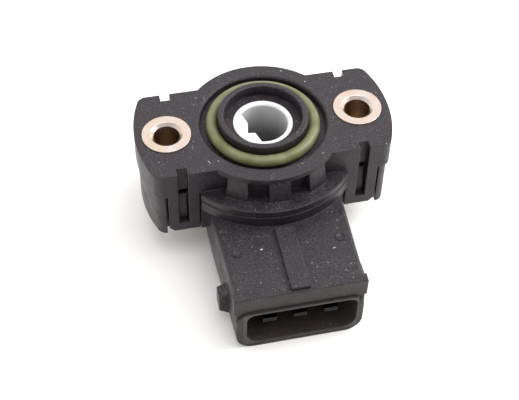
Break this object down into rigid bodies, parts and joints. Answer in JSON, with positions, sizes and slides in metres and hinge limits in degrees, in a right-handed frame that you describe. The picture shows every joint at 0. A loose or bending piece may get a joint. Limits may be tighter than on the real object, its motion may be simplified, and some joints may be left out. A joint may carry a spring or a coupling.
{
  "type": "throttle position sensor",
  "caption": "Rotary throttle position sensor with a round flange, fixing ears with steel bushes, a D-bore rotor and a rectangular plug socket.",
  "frame": {"origin": "on the rotor axis in the mounting face of the flange, midway between the fixing holes", "axes": "+Z out of the mounting face along the rotor axis, X through both fixing holes, the plug socket opens towards -Y"},
  "size_m": [0.0424, 0.0452, 0.0221],
  "materials": {
    "black_plastic": "moulded, glass-filled, satin",
    "bush_steel": "yellow zinc plated",
    "green_rubber": "smooth, dusty",
    "black_rubber": "smooth",
    "white_plastic": "smooth moulded",
    "spring_metal": "rolled strip",
    "plate_ceramic": "fired plate",
    "carbon_ink": "printed carbon ink",
    "silver_ink": "printed silver ink",
    "terminal_metal": "tin plated strip"
  },
  "bodies": {
    "housing": {"upper_housing": "black_plastic", "lower_housing": "black_plastic", "bush_left": "bush_steel", "bush_right": "bush_steel", "o_ring": "green_rubber", "shaft_seal": "black_rubber", "housing_seal": "black_rubber", "resistor_plate": "plate_ceramic", "resistor_track": "carbon_ink", "collector_track": "carbon_ink", "contact_pads": "silver_ink", "terminal_left": "terminal_metal", "terminal_centre": "terminal_metal", "terminal_right": "terminal_metal", "bridge_left": "terminal_metal", "bridge_centre": "terminal_metal", "bridge_right": "terminal_metal"},
    "rotor": {"rotor": "white_plastic", "wiper": "spring_metal"}
  },
  "joints": [
    {"name": "rotor_turn", "type": "hinge", "parent": "housing", "child": "rotor", "pos_m": [0, 0, 0], "axis": [0, 0, 1], "range_deg": [0, 95]}
  ]
}
